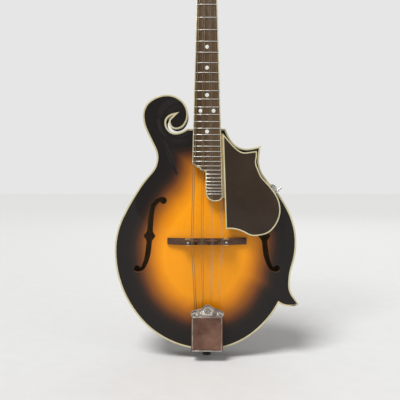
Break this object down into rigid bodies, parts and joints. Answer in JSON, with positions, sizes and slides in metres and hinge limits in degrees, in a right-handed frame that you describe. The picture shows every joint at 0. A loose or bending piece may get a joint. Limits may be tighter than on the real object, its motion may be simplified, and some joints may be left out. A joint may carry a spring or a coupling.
{
  "type": "f-style mandolin",
  "caption": "Carved mandolin with a scroll body, two points, f-holes, raised pickguard, movable bridge, cast-cover tailpiece and worm-geared tuners.",
  "frame": {"origin": "centre of the end pin's outer face", "axes": "+Z from the tail towards the peghead, +X towards the treble side, +Y from the top towards the back; the strings face -Y"},
  "size_m": [0.26, 0.1187, 0.6988],
  "materials": {
    "top_wood": "gloss",
    "back_wood": "gloss",
    "rib_wood": "gloss",
    "neck_wood": "gloss",
    "inner_wood": "satin",
    "rosewood": "satin",
    "black_wood": "gloss",
    "binding": "gloss",
    "nickel": "gloss",
    "aged_nickel": "satin",
    "steel": "satin",
    "wound": "satin",
    "brass": "satin",
    "black_plastic": "gloss",
    "guard": "gloss",
    "ivory_plastic": "gloss",
    "pearl": "gloss",
    "bone": "satin"
  },
  "bodies": {
    "instrument": {"top_plate": "top_wood", "back_plate": "back_wood", "bass_rib": "rib_wood", "treble_lower_rib": "rib_wood", "treble_middle_rib": "rib_wood", "treble_upper_rib": "rib_wood", "head_block": "inner_wood", "tail_block": "inner_wood", "point_blocks": "inner_wood", "top_linings": "inner_wood", "back_linings": "inner_wood", "tone_bars": "inner_wood", "top_binding": "binding", "neck": "neck_wood", "truss_rod": "steel", "truss_cover": "black_plastic", "fingerboard": "rosewood", "fingerboard_binding": "binding", "frets": "nickel", "position_dots": "pearl", "nut": "bone", "peghead_veneer": "black_wood", "peghead_binding": "binding", "tuner_plates": "nickel", "post_bushings": "nickel", "bridge_base": "rosewood", "bridge_posts": "nickel", "tailpiece_base": "nickel", "end_pin": "black_plastic", "wound_strings": "wound", "plain_strings": "steel", "pickguard": "guard", "pickguard_binding": "binding", "pickguard_bracket": "nickel"},
    "truss_nut": {"truss_nut": "brass"},
    "thumbwheel_bass": {"thumbwheel_bass": "brass"},
    "thumbwheel_treble": {"thumbwheel_treble": "brass"},
    "bridge_saddle": {"bridge_saddle": "rosewood"},
    "tailpiece_cover": {"tailpiece_cover": "aged_nickel"},
    "tuning_button_1": {"tuning_button_1": "ivory_plastic"},
    "string_post_1": {"string_post_1": "nickel"},
    "tuning_button_2": {"tuning_button_2": "ivory_plastic"},
    "string_post_2": {"string_post_2": "nickel"},
    "tuning_button_3": {"tuning_button_3": "ivory_plastic"},
    "string_post_3": {"string_post_3": "nickel"},
    "tuning_button_4": {"tuning_button_4": "ivory_plastic"},
    "string_post_4": {"string_post_4": "nickel"},
    "tuning_button_5": {"tuning_button_5": "ivory_plastic"},
    "string_post_5": {"string_post_5": "nickel"},
    "tuning_button_6": {"tuning_button_6": "ivory_plastic"},
    "string_post_6": {"string_post_6": "nickel"},
    "tuning_button_7": {"tuning_button_7": "ivory_plastic"},
    "string_post_7": {"string_post_7": "nickel"},
    "tuning_button_8": {"tuning_button_8": "ivory_plastic"},
    "string_post_8": {"string_post_8": "nickel"}
  },
  "joints": [
    {"name": "button_turn_1", "type": "hinge", "parent": "instrument", "child": "tuning_button_1", "pos_m": [-0.0195, 0.02003, 0.55679], "axis": [1, 0, 0], "continuous": true},
    {"name": "post_turn_1", "type": "hinge", "parent": "instrument", "child": "string_post_1", "pos_m": [-0.0195, 0.02263, 0.56414], "axis": [0, 0.9426, -0.3338], "continuous": true},
    {"name": "button_turn_2", "type": "hinge", "parent": "instrument", "child": "tuning_button_2", "pos_m": [-0.0195, 0.0277, 0.57847], "axis": [1, 0, 0], "continuous": true},
    {"name": "post_turn_2", "type": "hinge", "parent": "instrument", "child": "string_post_2", "pos_m": [-0.0195, 0.03031, 0.58582], "axis": [0, 0.9426, -0.3338], "continuous": true},
    {"name": "button_turn_3", "type": "hinge", "parent": "instrument", "child": "tuning_button_3", "pos_m": [-0.0195, 0.03538, 0.60015], "axis": [1, 0, 0], "continuous": true},
    {"name": "post_turn_3", "type": "hinge", "parent": "instrument", "child": "string_post_3", "pos_m": [-0.0195, 0.03798, 0.6075], "axis": [0, 0.9426, -0.3338], "continuous": true},
    {"name": "button_turn_4", "type": "hinge", "parent": "instrument", "child": "tuning_button_4", "pos_m": [-0.0195, 0.04306, 0.62183], "axis": [1, 0, 0], "continuous": true},
    {"name": "post_turn_4", "type": "hinge", "parent": "instrument", "child": "string_post_4", "pos_m": [-0.0195, 0.04566, 0.62918], "axis": [0, 0.9426, -0.3338], "continuous": true},
    {"name": "button_turn_5", "type": "hinge", "parent": "instrument", "child": "tuning_button_5", "pos_m": [0.0195, 0.04306, 0.62183], "axis": [1, 0, 0], "continuous": true},
    {"name": "post_turn_5", "type": "hinge", "parent": "instrument", "child": "string_post_5", "pos_m": [0.0195, 0.04566, 0.62918], "axis": [0, 0.9426, -0.3338], "continuous": true},
    {"name": "button_turn_6", "type": "hinge", "parent": "instrument", "child": "tuning_button_6", "pos_m": [0.0195, 0.03538, 0.60015], "axis": [1, 0, 0], "continuous": true},
    {"name": "post_turn_6", "type": "hinge", "parent": "instrument", "child": "string_post_6", "pos_m": [0.0195, 0.03798, 0.6075], "axis": [0, 0.9426, -0.3338], "continuous": true},
    {"name": "button_turn_7", "type": "hinge", "parent": "instrument", "child": "tuning_button_7", "pos_m": [0.0195, 0.0277, 0.57847], "axis": [1, 0, 0], "continuous": true},
    {"name": "post_turn_7", "type": "hinge", "parent": "instrument", "child": "string_post_7", "pos_m": [0.0195, 0.03031, 0.58582], "axis": [0, 0.9426, -0.3338], "continuous": true},
    {"name": "button_turn_8", "type": "hinge", "parent": "instrument", "child": "tuning_button_8", "pos_m": [0.0195, 0.02003, 0.55679], "axis": [1, 0, 0], "continuous": true},
    {"name": "post_turn_8", "type": "hinge", "parent": "instrument", "child": "string_post_8", "pos_m": [0.0195, 0.02263, 0.56414], "axis": [0, 0.9426, -0.3338], "continuous": true},
    {"name": "truss_nut_turn", "type": "hinge", "parent": "instrument", "child": "truss_nut", "pos_m": [0, -0.00359, 0.53214], "axis": [0, 0.0958, 0.9954], "range_deg": [-360, 360]},
    {"name": "saddle_lower", "type": "slide", "parent": "instrument", "child": "bridge_saddle", "axis": [0, 1, 0], "range_m": [0, 0.0014]},
    {"name": "thumbwheel_bass_turn", "type": "hinge", "parent": "bridge_saddle", "child": "thumbwheel_bass", "pos_m": [-0.026, -0.0439, 0.168], "axis": [0, 1, 0], "range_deg": [0, 720]},
    {"name": "thumbwheel_treble_turn", "type": "hinge", "parent": "bridge_saddle", "child": "thumbwheel_treble", "pos_m": [0.026, -0.0439, 0.168], "axis": [0, 1, 0], "range_deg": [0, 720]},
    {"name": "tailpiece_cover_slide", "type": "slide", "parent": "instrument", "child": "tailpiece_cover", "axis": [0, 0, -1], "range_m": [0, 0.068]}
  ],
  "couplings": [
    {"joint": "post_turn_1", "follows": "button_turn_1", "ratio": 0.071429},
    {"joint": "post_turn_2", "follows": "button_turn_2", "ratio": 0.071429},
    {"joint": "post_turn_3", "follows": "button_turn_3", "ratio": 0.071429},
    {"joint": "post_turn_4", "follows": "button_turn_4", "ratio": 0.071429},
    {"joint": "post_turn_5", "follows": "button_turn_5", "ratio": 0.071429},
    {"joint": "post_turn_6", "follows": "button_turn_6", "ratio": 0.071429},
    {"joint": "post_turn_7", "follows": "button_turn_7", "ratio": 0.071429},
    {"joint": "post_turn_8", "follows": "button_turn_8", "ratio": 0.071429},
    {"joint": "thumbwheel_bass_turn", "follows": "saddle_lower", "rad_per_m": 8976},
    {"joint": "thumbwheel_treble_turn", "follows": "saddle_lower", "rad_per_m": 8976}
  ]
}
